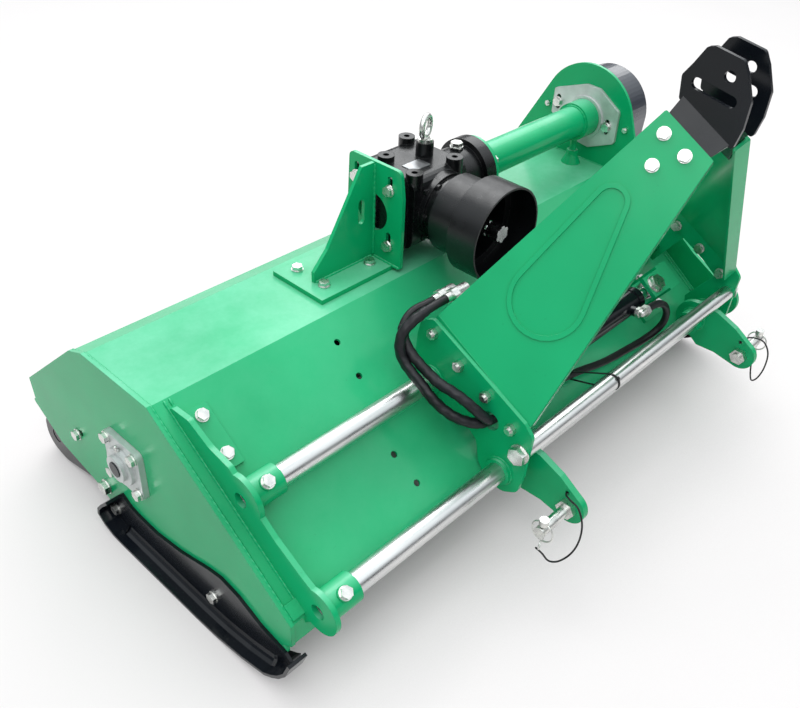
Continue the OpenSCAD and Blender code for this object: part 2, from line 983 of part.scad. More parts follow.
module adjuster() at_origin() {
  h = drive_z - tube_r - 7 - gap - top_z;
  translate([adj[0], adj[1], top_z]) {
    color(green)
      difference() {
        cylinder(r1 = 24, r2 = 13, h = 22);
        translate([0, 0, -1])
          cylinder(r = 8 + run, h = 30);
      }
    color(zinc)
      cylinder(r = 8, h = h);
    color(zinc)
      translate([0, 0, 22 + 11])
        nut(8);
  }
}

module cross_shaft() at_origin() {
  color(zinc)
    rod_x(112, pulley_x + pulley_w + 4, dc, cross_r);
}

// pulley along +z with a V groove for every belt
module pulley(pr, bore) {
  difference() {
    rotate_extrude()
      polygon(concat([[bore, 0], [bore, pulley_w], [pr + 6, pulley_w]],
        [for (i = [belt_n - 1 : -1 : 0], q = [[6, 16.6], [-10, 13.2], [-10, 5.8], [6, 2.4]])
          [pr + q[0], 17 * i + 1.5 + q[1]]], [[pr + 6, 0]]));
    for (w = [0 : 60 : 300])
      rotate([0, 0, w])
        translate([(pr + bore) / 2 - 4, 0, -1])
          cylinder(r = 11, h = pulley_w + 2);
  }
}

module upper_pulley() at_origin() {
  color(grey)
    face_plus_x(pulley_x, dc)
      pulley(up_r, cross_r + 0.02);
}

module lower_pulley() at_origin() {
  color(grey)
    face_plus_x(pulley_x, [ry, rotor_z])
      pulley(low_r, stub_r + 0.02);
}

// loop round both pulleys at one radius offset, taken as two circles and their tangents
function loop(e) =
  let (a = dc, b = [ry, rotor_z], d = a - b, w = atan2(d[1], d[0]),
    q = acos((up_r - low_r) / norm(d)))
  concat(arc(a, up_r + e, w - q, w + q, 24), arc(b, low_r + e, w + q, w + 360 - q, 24));

module belts() at_origin() {
  color(dark)
    for (i = [0 : belt_n - 1])
      difference() {
        along_x(pulley_x + 17 * i + 1.5 + 5.2, pulley_x + 17 * i + 1.5 + 13.8)
          polygon(loop(4));
        along_x(pulley_x + 17 * i + 1, pulley_x + 17 * i + 18)
          polygon(loop(-5));
      }
}

cov_x = pulley_x + pulley_w + 12;
cov_r = 104;
cov_l = 92;

function cover_loop(e) =
  let (a = dc, b = [ry, rotor_z], d = a - b, w = atan2(d[1], d[0]),
    q = acos((cov_r - cov_l) / norm(d)))
  concat(arc(a, cov_r + e, w - q, w + q, 32), arc(b, cov_l + e, w + q, w + 360 - q, 32));

module belt_cover() at_origin() {
  color(grey)
    difference() {
      union() {
        along_x(xb, cov_x)
          polygon(cover_loop(0));
        along_x(xb, xb + 4)
          for (p = cover_tab)
            slot(dc + p, dc + [p[0] * 0.7, p[1]], 12);
      }
      along_x(xb - 1, cov_x - 4)
        polygon(cover_loop(-4));
      for (p = cover_tab)
        rod_x(xb - 1, xb + 5, dc + p, 4 + slack);
    }
}

module cover_bolts() at_origin() {
  color(zinc)
    for (p = cover_tab)
      face_plus_x(xb + 4, dc + p)
        bolted(4 + plate_t, 4);
}

// Carriage of the side shift
chan_bolt = [[-369, 401], [-434, 365], [-500, 334], [-561, 296]];
hose_hole = [-514, 284];

module carriage_outline() {
  polygon(rounded([[-336, 409, 0], [-352, 422, 8], [-366, 428, 8], [-378, 422, 8],
    [-586, 321, 10], [-606, 300, 16], [-602, 249, 20], [-600, 204, 20], [-592, 160, 20],
    [-560, 140, 30], [-520, 146, 20], [-498, 176, 16], [-488, 222, 10], [-470, 236, 10],
    [-446, 233, 16], [-404, 244, 20], [-352, 278, 20], [-326, 300, 16], [-330, 380, 0]]));
}

module carriage_holes() {
  for (p = [ura, lra])
    spot(p, rail_r + run);
  spot(tie, 10 + slack);
  for (p = chan_bolt)
    spot(p, 6 + slack);
}

// bushes from x0 to x1 on both rails
module bushes(x0, x1) {
  for (p = [ura, lra])
    difference() {
      rod_x(x0, x1, p, bush_r);
      rod_x(x0 - 1, x1 + 1, p, rail_r + run);
    }
}

module carriage_plate_plain() at_origin() {
  color(green) {
    along_x(ca, ca + car_t)
      difference() {
        carriage_outline();
        carriage_holes();
        spot(hose_hole, 19);
      }
    bushes(ca - 8, ca + 90);
    on_slope()
      for (h = [cyl_h - eye_h - gap - ear_t, cyl_h + eye_h + gap])
        difference() {
          translate([ca + car_t - 1, -cyl_s - 20, h])
            cube([46, 40, ear_t]);
          translate([cyl_a, -cyl_s, h - 1])
            cylinder(r = pin_r + run, h = ear_t + 2);
        }
  }
}

module carriage_plate_belt() at_origin() {
  color(green) {
    difference() {
      along_x(cb - car_t, cb)
        difference() {
          carriage_outline();
          carriage_holes();
        }
      on_slope()
        translate([cb - 20, -362, -20])
          cube([40, 112, 146]);
    }
    bushes(cb - 90, cb + 4);
  }
}

module arm_outline() {
  difference() {
    union() {
      spot(lra, 44);
      spot(hitch, 34);
      polygon([touch(hitch, lra, 44, -1), lra + [-20, 46], [-600, 227], [-648, 208],
        hitch + [-14, 31], hitch, hitch + [-8, -33], hitch + [4, -34], [-616, 127], [-571, 125],
        lra + [0, -43]]);
    }
    spot(lra, bush_r + 0.02);
    spot(hitch, hitch_r + run);
    spot([-668, 182], 4.5);
  }
}

module lower_arms() at_origin() {
  color(green) {
    along_x(wa, wa + arm_t)
      arm_outline();
    along_x(wb - arm_t, wb)
      arm_outline();
  }
}

module tie_bar() at_origin() {
  color(zinc)
    difference() {
      rod_x(ca + car_t, cb - car_t, tie, tie_r);
      rod_x(ca, ca + 60, tie, 10 + run);
      rod_x(cb - 60, cb, tie, 10 + run);
    }
}

module tie_bolts() at_origin() {
  color(zinc) {
    face_minus_x(ca, tie)
      bolt(40, 10);
    face_plus_x(cb, tie)
      bolt(40, 10);
  }
}

chan_top = [[106, ch_l - 28], [79, ch_l - 75], [55, ch_l - 28]];
rib_d = 34;

// sheet face in the channel frame, as y and z
module channel_face() {
  polygon(rounded([[-128, 0, 0], [128, 0, 0], [134, ch_l, 4], [19, ch_l, 4]]));
}

module channel() {
  difference() {
    union() {
      on_channel() {
        along_x(0, chan_t)
          channel_face();
        along_x(chan_t - 1, rib_d)
          polygon([[-128, 4], [-128 + chan_t, 4], [19 + chan_t, ch_l], [19, ch_l]]);
        along_x(chan_t - 1, rib_d)
          polygon([[128 - chan_t, 4], [128, 4], [134, ch_l], [134 - chan_t, ch_l]]);
        along_x(-3, 1)
          difference() {
            polygon(bead(0));
            polygon(bead(9));
          }
      }
      along_x(ca + car_t, ca + car_t + chan_t)
        polygon([[-368, 436], [-592, 313], [-574, 278], [-350, 400]]);
    }
    on_channel()
      for (p = chan_top)
        rod_x(-5, 20, p, 6 + slack);
    for (p = chan_bolt)
      rod_x(ca, ca + 30, p, 6 + slack);
    along_x(ca - 40, ca + car_t)
      polygon([[-700, 200], [-200, 200], [-200, 500], [-700, 500]]);
  }
}

// pressed bead on the face, a drop shape between a wide and a narrow circle
function bead(e) =
  let (a = [22, 164], b = [78, ch_l - 162], d = b - a, w = atan2(d[1], d[0]), q = acos(38 / norm(d)))
  concat(arc(a, 70 - e, w + q, w + 360 - q, 16), arc(b, 32 - e, w - q, w + q, 10));

module channels() at_origin() {
  color(green)
    mirrored_pair()
      channel();
}

module channel_bolts() at_origin() {
  color(zinc)
    mirrored_pair() {
      for (p = chan_bolt)
        face_minus_x(ca, p)
          rotate([180, 0, 0])
            translate([0, 0, car_t + chan_t])
              bolted(car_t + chan_t);
      on_channel()
        for (p = chan_top)
          translate([0, p[0], p[1]])
            rotate([0, -90, 0])
              bolted(chan_t + 8);
    }
}

module link_plate() {
  difference() {
    union() {
      on_channel()
        along_x(chan_t, chan_t + 8)
          polygon([for (q = [[26, -92], [116, -102], [126, -12], [134, 36], [22, 36], [30, -12]])
            q + [0, ch_l]]);
      along_x(link_a, link_a + 8)
        polygon(rounded([[-672, 752, 6], [-562, 806, 6], [-558, 845, 8], [-573, 868, 10],
          [-590, 898, 8], [-604, 902, 6], [-654, 893, 8], [-666, 873, 10], [-682, 833, 10],
          [-681, 790, 8]]));
    }
    rod_x(link_a - 2, link_a + 12, top_pin, link_r);
    along_x(link_a - 2, link_a + 12)
      slot([-587, 838], [-650, 826], link_r);
    on_channel()
      for (p = chan_top)
        rod_x(chan_t - 1, chan_t + 10, p, 6 + slack);
  }
}

module top_link_plates() at_origin() {
  color(dark)
    mirrored_pair()
      link_plate();
}

linch_x = 12;

module hitch_pin() {
  difference() {
    union() {
      rod_x(wa - hitch_l - 12, wa + arm_t + 20, hitch, hitch_r);
      along_x(wa - 12, wa)
        translate(hitch)
          polygon(hexa(34));
    }
    translate([wa - hitch_l - 12 + linch_x, hitch[0], hitch[1]])
      cylinder(r = 5 + run, h = 60, center = true);
  }
  difference() {
    along_x(wa + arm_t, wa + arm_t + 14)
      translate(hitch)
        polygon(hexa(32));
    rod_x(wa, wa + 40, hitch, hitch_r + run);
  }
}

module hitch_pins() at_origin() {
  color(zinc)
    mirrored_pair()
      hitch_pin();
}

module linch_pins() at_origin() {
  color(zinc)
    mirrored_pair()
      translate([wa - hitch_l - 12 + linch_x, hitch[0], hitch[1]]) {
        translate([0, 0, -22])
          cylinder(r = 5, h = 38);
        translate([0, 0, hitch_r + 2])
          cylinder(r = 9, h = 12);
        translate([0, 0, -5])
          rotate([0, 90, 0])
            rotate_extrude()
              translate([22, 0])
                circle(1.6);
        translate([0, 0, -38])
          rotate([90, 0, 20])
            rotate_extrude()
              translate([10, 0])
                circle(1.2);
      }
}

// tube swept along hand chosen points
function ring_at(P, i, r, n) =
  let (t = unit(P[min(i + 1, len(P) - 1)] - P[max(i - 1, 0)]),
    u = unit(cross(t, abs(t[0]) < 0.8 ? [1, 0, 0] : [0, 1, 0])), v = cross(t, u))
  [for (k = [0 : n - 1]) P[i] + r * (cos(360 * k / n) * u + sin(360 * k / n) * v)];

module tube(P, r, n) {
  m = len(P);
  polyhedron([for (i = [0 : m - 1]) each ring_at(P, i, r, n)],
    concat([[for (k = [0 : n - 1]) k]],
      [for (i = [0 : m - 2], k = [0 : n - 1])
        [i * n + k, (i + 1) * n + k, (i + 1) * n + (k + 1) % n, i * n + (k + 1) % n]],
      [[for (k = [n - 1 : -1 : 0]) (m - 1) * n + k]]));
}

// smooth run through given points, a number of steps between each pair
function run_at(P, i, t) =
  let (a = P[max(i - 1, 0)], b = P[i], c = P[i + 1], d = P[min(i + 2, len(P) - 1)])
  0.5 * (2 * b + (c - a) * t + (2 * a - 5 * b + 4 * c - d) * t * t
    + (3 * b - a - 3 * c + d) * t * t * t);
function smooth(P, n) = concat([for (i = [0 : len(P) - 2], k = [0 : n - 1]) run_at(P, i, k / n)],
  [P[len(P) - 1]]);

lan_a = [[-170, -668, 182], [-190, -668, 183], [-202, -682, 188], [-208, -706, 186],
  [-212, -722, 160], [-214, -724, 120], [-218, -716, 84], [-230, -702, 62], [-246, -690, 66],
  [-258, -680, 88], [-268, -671, 104]];

module lanyards() at_origin() {
  color(dark) {
    tube(smooth(lan_a, 2), 1.8, 8);
    tube(smooth([for (p = lan_a) [2 * cx - p[0], p[1], p[2]]], 2), 1.8, 8);
  }
}

// Cylinder of the side shift
bar_a = cyl_a + 26;
bar_b = bar_a + travel + 102;
port_a = bar_a + 24;
port_b = bar_b - 30;
port_w = slope + 45;

// eye with its bore square to the slope
module eye(x) {
  translate([x, cyl[0], cyl[1]])
    rotate([slope, 0, 0])
      difference() {
        translate([0, 0, -eye_h])
          cylinder(r = 21, h = 2 * eye_h);
        translate([0, 0, -eye_h - 1])
          cylinder(r = pin_r + run, h = 2 * eye_h + 2);
      }
}

module cylinder_barrel() at_origin() {
  color(dark) {
    difference() {
      union() {
        rod_x(bar_a, bar_b, cyl, barrel_r);
        rod_x(bar_b, bar_b + 16, cyl, barrel_r + 2);
        for (x = [port_a, port_b])
          translate([x, cyl[0], cyl[1]])
            rotate([port_w, 0, 0])
              cylinder(r = 11, h = barrel_r + 10);
      }
      rod_x(bar_a + 12, bar_b, cyl, barrel_r - 6);
      rod_x(bar_a + 13, bar_b + 20, cyl, rod_r + run);
    }
    eye(cyl_a);
    rod_x(cyl_a + 20, bar_a + 1, cyl, 14);
  }
}

module piston_rod() at_origin() {
  color(zinc) {
    rod_x(bar_a + 14, cyl_b - 19, cyl, rod_r);
    rod_x(bar_a + 14, bar_a + 44, cyl, barrel_r - 6 - run);
    eye(cyl_b);
  }
}

module cylinder_lug() at_origin() {
  color(green)
    on_slope()
      difference() {
        union() {
          translate([lug_x - 42, -360, 0])
            cube([84, 108, 8]);
          translate([lug_x - 34, -330, 0])
            cube([40, 62, cyl_h + eye_h + gap + ear_t]);
          for (h = [cyl_h - eye_h - gap - ear_t, cyl_h + eye_h + gap])
            translate([cyl_b - 22, -cyl_s - 25, h])
              cube([60, 50, ear_t]);
        }
        for (s = lug_s)
          translate([lug_bx, -s, -1])
            cylinder(r = 6 + slack, h = 10);
        translate([cyl_b, -cyl_s, 50])
          cylinder(r = pin_r + run, h = 70);
      }
}

// pin with a head above the upper ear and a nut below the lower one
module cylinder_pin(x) {
  g = 2 * (eye_h + gap + ear_t);
  on_slope()
    translate([x, -cyl_s, cyl_h + g / 2])
      bolted(g, pin_r - 0.02);
}

module cylinder_pin_deck() at_origin() {
  color(zinc)
    cylinder_pin(cyl_b);
}

module cylinder_pin_carriage() at_origin() {
  color(zinc)
    cylinder_pin(cyl_a);
}

// elbow on a port, its arm of length l to the side e, with a hexagon at each end
module elbow(x, e) {
  d = barrel_r + 22;
  translate([x, cyl[0], cyl[1]])
    rotate([port_w, 0, 0]) {
      translate([0, 0, barrel_r + 10.1])
        linear_extrude(8)
          polygon(hexa(20));
      translate([0, 0, barrel_r + 12])
        cylinder(r = 8, h = d - barrel_r - 12);
      translate([0, 0, d])
        sphere(r = 8);
      translate([0, 0, d])
        rotate([0, e * 90, 0]) {
          cylinder(r = 8, h = 16);
          translate([0, 0, 8])
            linear_extrude(12)
              polygon(hexa(22));
        }
    }
}

// quick coupler on the end of a hose, along the direction w
module coupler(p, w) {
  translate(p)
    rotate([0, 90, 0])
      rotate([w, 0, 0])
        difference() {
          union() {
            translate([0, 0, -2])
              cylinder(r = 9.5, h = 16);
            translate([0, 0, 12])
              linear_extrude(14)
                polygon(hexa(24));
            translate([0, 0, 24])
              cylinder(r = 12, h = 30);
          }
          translate([0, 0, -3])
            cylinder(r = hose_r + 0.02, h = 12);
          translate([0, 0, 40])
            cylinder(r = 7, h = 20);
        }
}

hose_r = 8;
hose_a = [[-169, -523.3, 292.2], [-184, -523.3, 292.2], [-206, -522, 292],
  [-229, -520, 291.5], [-241, -517, 293], [-256, -503, 310], [-268, -481, 330],
  [-277, -455, 342], [-282, -430, 348], [-283, -408, 355], [-283, -386, 364],
  [-283, -365, 374], [-279, -343, 388], [-271, -327, 405], [-256, -321, 419],
  [-236, -322, 429], [-214, -330, 435.6], [-196, -331, 436]];
hose_b = [[279, -523.3, 292.2], [296, -523.3, 292.2], [314, -524, 290],
  [336, -525, 283], [359, -527, 266], [373, -528, 240], [374, -525, 214], [360, -518, 194],
  [330, -510, 182], [290, -505, 180], [190, -498, 187], [90, -494, 211], [-20, -499, 240],
  [-140, -512, 261], [-190, -510, 271], [-229, -507.5, 275.5], [-252, -500, 281],
  [-274, -481, 290], [-290, -452, 305], [-298, -425, 325], [-299, -400, 341],
  [-299, -376, 354], [-299, -357, 368], [-297, -346, 389], [-289, -343, 413],
  [-268, -348, 433], [-244, -354, 445], [-218, -357, 450], [-192, -357, 450]];

module hoses() at_origin() {
  color(dark) {
    tube(hose_a, hose_r, 10);
    tube(hose_b, hose_r, 10);
  }
}

module hose_fittings() at_origin() {
  color(zinc) {
    elbow(port_a, -1);
    elbow(port_b, 1);
    coupler(hose_a[len(hose_a) - 1], 0);
    coupler(hose_b[len(hose_b) - 1], 0);
  }
}

deck_shell();
side_plate_plain();
side_plate_belt();
rail_bracket_plain();
rail_bracket_belt();
upper_rail();
lower_rail();
collar_bolts();
deck_bolts();
skid_plain();
skid_belt();
bearing_plain();
bearing_belt();
bearing_bolts();
rotor();
hammer_pins();
hammers_a();
hammers_b();
hammers_c();
hammers_d();
roller_arms();
roller_pivots();
roller_clamps();
roller();
gearbox_bracket();
gearbox_bolts();
gearbox_housing();
filler_plugs();
lifting_eye();
blank_plate();
shaft_guard();
input_shaft();
shaft_tube();
tube_bolts();
bearing_slide();
adjuster();
cross_shaft();
upper_pulley();
lower_pulley();
belts();
belt_cover();
cover_bolts();
carriage_plate_plain();
carriage_plate_belt();
lower_arms();
tie_bar();
tie_bolts();
channels();
channel_bolts();
top_link_plates();
hitch_pins();
linch_pins();
lanyards();
cylinder_barrel();
piston_rod();
cylinder_lug();
cylinder_pin_deck();
cylinder_pin_carriage();
hoses();
hose_fittings();
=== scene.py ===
import bpy, bmesh, math
from mathutils import Matrix, Vector


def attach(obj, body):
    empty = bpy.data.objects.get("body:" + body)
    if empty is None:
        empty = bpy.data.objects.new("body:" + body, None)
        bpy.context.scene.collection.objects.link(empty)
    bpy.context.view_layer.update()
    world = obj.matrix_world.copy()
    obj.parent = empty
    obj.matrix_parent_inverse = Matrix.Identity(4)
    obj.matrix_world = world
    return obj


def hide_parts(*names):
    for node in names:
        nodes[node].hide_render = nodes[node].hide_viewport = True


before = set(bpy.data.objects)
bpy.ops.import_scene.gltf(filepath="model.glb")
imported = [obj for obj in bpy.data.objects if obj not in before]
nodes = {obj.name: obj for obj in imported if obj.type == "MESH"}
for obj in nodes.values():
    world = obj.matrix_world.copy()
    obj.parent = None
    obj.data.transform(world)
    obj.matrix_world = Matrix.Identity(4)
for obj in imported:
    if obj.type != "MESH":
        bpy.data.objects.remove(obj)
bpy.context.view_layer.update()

# Radii of the cords and the height of the floor, in metres
HOSE_R = 0.008
LANYARD_R = 0.0018
FLOOR_Z = -0.496

# The slope of the deck, y and z of the two rails and of the cross shaft, in millimetres
SLOPE = math.radians(35.3)
RAILS = ((-372, 298), (-548, 185.6))
DRIVE = (-93, 496)


def at(x, y, z):
    """A place in the part's metres, from millimetres from the ground under the gearbox."""
    return Vector((x / 1000, (y + 326) / 1000, (z - 496) / 1000))


def on_slope(x, s, h):
    """A point in millimetres on the front slope: along x, down the slope, above it."""
    return (x, -181 - s * math.cos(SLOPE) - h * math.sin(SLOPE),
            387 - s * math.sin(SLOPE) + h * math.cos(SLOPE))


# Camera
def camera():
    a, e, roll = math.radians(-48.98), math.radians(36.97), math.radians(3.52)
    back = Vector((math.sin(a) * math.cos(e), -math.cos(a) * math.cos(e), math.sin(e)))
    level = Vector((math.cos(a), math.sin(a), 0))
    rise = back.cross(level)
    right = math.cos(roll) * level + math.sin(roll) * rise
    up = back.cross(right)
    cam = bpy.data.objects.new("camera", bpy.data.cameras.new("camera"))
    bpy.context.scene.collection.objects.link(cam)
    cam.matrix_world = Matrix.Translation((-1.2440, -0.8789, 0.8388)) @ Matrix(
        (right, up, back)).transposed().to_4x4()
    cam.data.sensor_width = 36
    cam.data.lens = 40.43
    cam.data.shift_x = -0.018
    cam.data.shift_y = 0.002
    cam.data.clip_start = 0.05
    bpy.context.scene.camera = cam


camera()


# Curves and tubes
def smooth(points, steps):
    """A line in metres through points in millimetres, with a number of steps between each pair."""
    out = []
    for i in range(len(points) - 1):
        a, b, c, d = (Vector(points[min(max(k, 0), len(points) - 1)])
                      for k in (i - 1, i, i + 1, i + 2))
        for k in range(steps):
            t = k / steps
            out.append(0.5 * (2 * b + (c - a) * t + (2 * a - 5 * b + 4 * c - d) * t * t
                              + (3 * b - a - 3 * c + d) * t ** 3))
    out.append(Vector(points[-1]))
    return [at(*q) for q in out]


def curve(name, path, radius, material, body, sides):
    """A round cord along a path, as a curve of one open spline."""
    data = bpy.data.curves.new(name, "CURVE")
    data.dimensions = "3D"
    data.bevel_depth = radius
    data.bevel_resolution = sides
    data.use_fill_caps = True
    line = data.splines.new("POLY")
    line.points.add(len(path) - 1)
    for q, v in zip(line.points, path):
        q.co = (*v, 1)
    data.materials.append(material)
    piece = bpy.data.objects.new(name, data)
    bpy.context.scene.collection.objects.link(piece)
    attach(piece, body)
    return piece


def solid(name, bm, material, body, shade=True):
    """A mesh piece that rides on a body."""
    data = bpy.data.meshes.new(name)
    bmesh.ops.recalc_face_normals(bm, faces=bm.faces)
    bm.to_mesh(data)
    bm.free()
    if shade:
        data.polygons.foreach_set("use_smooth", [True] * len(data.polygons))
    data.materials.append(material)
    piece = bpy.data.objects.new(name, data)
    bpy.context.scene.collection.objects.link(piece)
    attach(piece, body)
    return piece


def sweep(bm, path, section, closed=False):
    """Join rings along a path in metres. section(i, s) gives a ring's points as across, up."""
    rings, run, up = [], 0.0, None
    n = len(path)
    for i, q in enumerate(path):
        before = path[(i - 1) % n] if closed or i else q
        after = path[(i + 1) % n] if closed or i < n - 1 else q
        t = (after - before).normalized()
        if up is None:
            up = Vector((0, 0, 1)) if abs(t.z) < 0.9 else Vector((1, 0, 0))
        up = (up - t * up.dot(t)).normalized()
        across = t.cross(up)
        if i:
            run += (q - path[i - 1]).length
        rings.append([bm.verts.new(q + across * a + up * b) for a, b in section(i, run)])
    m = len(rings[0])
    last = n if closed else n - 1
    for i in range(last):
        a, b = rings[i], rings[(i + 1) % n]
        for k in range(m):
            bm.faces.new((a[k], a[(k + 1) % m], b[(k + 1) % m], b[k]))
    if not closed:
        bm.faces.new(list(reversed(rings[0])))
        bm.faces.new(rings[-1])


def round_section(r, sides):
    return [(r * math.cos(2 * math.pi * k / sides), r * math.sin(2 * math.pi * k / sides))
            for k in range(sides)]


def fine(path, step):
    """The same line with a point at least every step."""
    out = [path[0]]
    for a, b in zip(path, path[1:]):
        k = max(1, round((b - a).length / step))
        out += [a.lerp(b, j / k) for j in range(1, k + 1)]
    return out


def ring(x, y, z, r, count=48):
    """Points in metres of a circle about a line along x, from sizes in millimetres."""
    return [at(x, y + a, z + b) for a, b in round_section(r, count)]


# Materials
def rgb(r, g, b):
    out = []
    for v in (r, g, b):
        v /= 255
        out.append(v / 12.92 if v < 0.04045 else ((v + 0.055) / 1.055) ** 2.4)
    return (*out, 1)


class Nodes:
    """A material with a Principled shader, and short ways to wire noise into it."""

    def __init__(self, name):
        self.mat = bpy.data.materials.new(name)
        self.mat.use_nodes = True
        self.tree = self.mat.node_tree
        self.tree.nodes.clear()
        self.out = self.new("OutputMaterial")
        self.bsdf = self.new("BsdfPrincipled")
        self.join(self.bsdf, 0, self.out, 0)
        self.coord = self.new("TexCoord")

    def new(self, kind, **values):
        n = self.tree.nodes.new("ShaderNode" + kind)
        for k, v in values.items():
            setattr(n, k, v)
        return n

    def join(self, a, i, b, j):
        self.tree.links.new(a.outputs[i], b.inputs[j])

    def set(self, **values):
        for k, v in values.items():
            self.bsdf.inputs[k.replace("_", " ")].default_value = v

    def noise(self, scale, detail=4, rough=0.55, stretch=None):
        n = self.new("TexNoise")
        n.inputs["Scale"].default_value = scale
        n.inputs["Detail"].default_value = detail
        n.inputs["Roughness"].default_value = rough
        if stretch:
            m = self.new("Mapping")
            m.inputs["Scale"].default_value = stretch
            self.join(self.coord, "Object", m, 0)
            self.join(m, 0, n, "Vector")
        else:
            self.join(self.coord, "Object", n, "Vector")
        return n

    def ramp(self, source, i, stops):
        r = self.new("ValToRGB")
        while len(r.color_ramp.elements) < len(stops):
            r.color_ramp.elements.new(0.5)
        for e, (p, c) in zip(r.color_ramp.elements, stops):
            e.position = p
            e.color = c if isinstance(c, tuple) else (c, c, c, 1)
        self.join(source, i, r, 0)
        return r

    def mix(self, a, b, fac):
        m = self.new("Mix", data_type="RGBA")
        for k, v in ((0, fac), (6, a), (7, b)):
            if isinstance(v, tuple) and not isinstance(v[0], float):
                self.join(v[0], v[1], m, k)
            else:
                m.inputs[k].default_value = v
        return m

    def bump(self, source, i, depth, strength=1.0, before=None):
        b = self.new("Bump")
        b.inputs["Strength"].default_value = strength
        b.inputs["Distance"].default_value = depth
        self.join(source, i, b, "Height")
        if before:
            self.join(before, 0, b, "Normal")
        return b

    def soft_edges(self, radius):
        n = self.new("Bevel", samples=4)
        n.inputs["Radius"].default_value = radius
        return n


def paint(name, dark, light, rough, coat, painted_sky_light=None, shine=0.5):
    """Sprayed enamel with faint patches, specks and orange peel, and a painted highlight: a pale
    tint on what faces up that stands in for sky light on the tops.
    """
    n = Nodes(name)
    patch = n.noise(3.1, 3)
    c = n.ramp(patch, 0, [(0.35, dark), (0.65, light)])
    specks = n.noise(190, 2)
    s = n.ramp(specks, 0, [(0.18, 0.0), (0.30, 1.0)])
    colour = n.mix(tuple(v * 0.8 for v in dark[:3]) + (1,), (c, 0), 0.5)
    n.join(s, 0, colour, 0)
    top = colour
    # Painted highlight: faces that face up are mixed towards a pale tint, as if lit from above.
    if painted_sky_light:
        g = n.new("NewGeometry")
        sep = n.new("SeparateXYZ")
        n.join(g, "Normal", sep, 0)
        upward = n.new("Math", operation="POWER", use_clamp=True)
        n.join(sep, 2, upward, 0)
        upward.inputs[1].default_value = 7.0
        d = n.noise(7, 6, 0.7)
        m = n.new("Math", operation="MULTIPLY")
        n.join(upward, 0, m, 0)
        n.join(n.ramp(d, 0, [(0.3, 0.16), (0.75, 0.34)]), 0, m, 1)
        m.use_clamp = True
        top = n.mix((colour, 2), painted_sky_light, 0.0)
        n.join(m, 0, top, 0)
    n.join(top, 2, n.bsdf, "Base Color")
    r = n.noise(11, 5, 0.6)
    n.join(n.ramp(r, 0, [(0.3, rough * 0.8), (0.7, rough * 1.35)]), 0, n.bsdf, "Roughness")
    peel = n.noise(420, 2, 0.5)
    waves = n.noise(26, 2, 0.5)
    b = n.bump(waves, 0, 0.0006, 0.25, n.soft_edges(0.0012))
    n.join(n.bump(peel, 0, 0.0001, 0.35, b), 0, n.bsdf, "Normal")
    n.set(Coat_Weight=coat, Coat_Roughness=0.08, Coat_IOR=1.5, Specular_IOR_Level=shine)
    return n.mat


def metal(name, dark, light, rough, scale, stretch=None, edge=0.0006,
          metallic=1.0, depth=0.00015):
    """Bare or plated metal with fine grain, which stretch turns into brushing."""
    n = Nodes(name)
    patch = n.noise(scale, 5, 0.65, stretch)
    n.join(n.ramp(patch, 0, [(0.3, dark), (0.7, light)]), 0, n.bsdf, "Base Color")
    r = n.noise(scale * 1.7, 4, 0.6, stretch)
    n.join(n.ramp(r, 0, [(0.3, rough[0]), (0.7, rough[1])]), 0, n.bsdf, "Roughness")
    g = n.noise(scale * 4, 3, 0.6, stretch)
    n.join(n.bump(g, 0, depth, 0.5, n.soft_edges(edge)), 0, n.bsdf, "Normal")
    n.set(Metallic=metallic)
    return n.mat


def casting(name, dark, light, rough, metallic, coat, shine=0.5):
    """A sand cast surface with lumps and grain."""
    n = Nodes(name)
    patch = n.noise(14, 5, 0.6)
    n.join(n.ramp(patch, 0, [(0.3, dark), (0.75, light)]), 0, n.bsdf, "Base Color")
    r = n.noise(30, 4)
    n.join(n.ramp(r, 0, [(0.3, rough[0]), (0.7, rough[1])]), 0, n.bsdf, "Roughness")
    sand = n.noise(260, 4, 0.6)
    lumps = n.noise(45, 3, 0.5)
    b = n.bump(lumps, 0, 0.0012, 0.4, n.soft_edges(0.0018))
    n.join(n.bump(sand, 0, 0.0004, 0.5, b), 0, n.bsdf, "Normal")
    n.set(Metallic=metallic, Coat_Weight=coat, Coat_Roughness=0.2,
          Specular_IOR_Level=shine)
    return n.mat


def rubber(name, dark, light, rough, scale):
    """Rubber, plastic or a woven sleeve, with a fine grain of the given scale."""
    n = Nodes(name)
    patch = n.noise(22, 4)
    n.join(n.ramp(patch, 0, [(0.3, dark), (0.7, light)]), 0, n.bsdf, "Base Color")
    r = n.noise(60, 4)
    n.join(n.ramp(r, 0, [(0.3, rough[0]), (0.7, rough[1])]), 0, n.bsdf, "Roughness")
    weave = n.noise(scale, 2)
    n.join(n.bump(weave, 0, 0.0003, 0.6, n.soft_edges(0.0008)), 0, n.bsdf, "Normal")
    n.set(Specular_IOR_Level=0.4)
    return n.mat


# The green enamel's pale mint tint on upward faces is a painted sky highlight.
green = paint("green enamel", rgb(8, 156, 98), rgb(13, 170, 108), 0.2, 0.05,
              painted_sky_light=rgb(176, 240, 218), shine=0.2)
black = paint("black enamel", rgb(11, 14, 18), rgb(18, 22, 28), 0.2, 0.05, shine=0.25)
zinc = metal("zinc plated tube", rgb(198, 200, 200), rgb(230, 230, 228), (0.22, 0.36), 30,
             (0.15, 1, 1), 0.0015)
bolt_zinc = metal("zinc plated fasteners", rgb(196, 198, 196), rgb(238, 238, 232),
                  (0.22, 0.38), 90)
cast = casting("bare casting", rgb(176, 182, 180), rgb(222, 226, 224), (0.32, 0.5), 0.5, 0.0)
ground = metal("ground steel", rgb(168, 170, 172), rgb(205, 206, 206), (0.16, 0.28), 120,
               (1, 0.2, 0.2))
iron = metal("grey iron", rgb(60, 58, 56), rgb(104, 100, 96), (0.45, 0.7), 26, None, 0.001,
             0.7, 0.0005)
gearbox_black = casting("black painted casting", rgb(6, 7, 8), rgb(14, 15, 17), (0.2, 0.36),
                        0.0, 0.2, 0.35)
guard = rubber("guard plastic", rgb(8, 9, 11), rgb(15, 16, 19), (0.26, 0.38), 500)
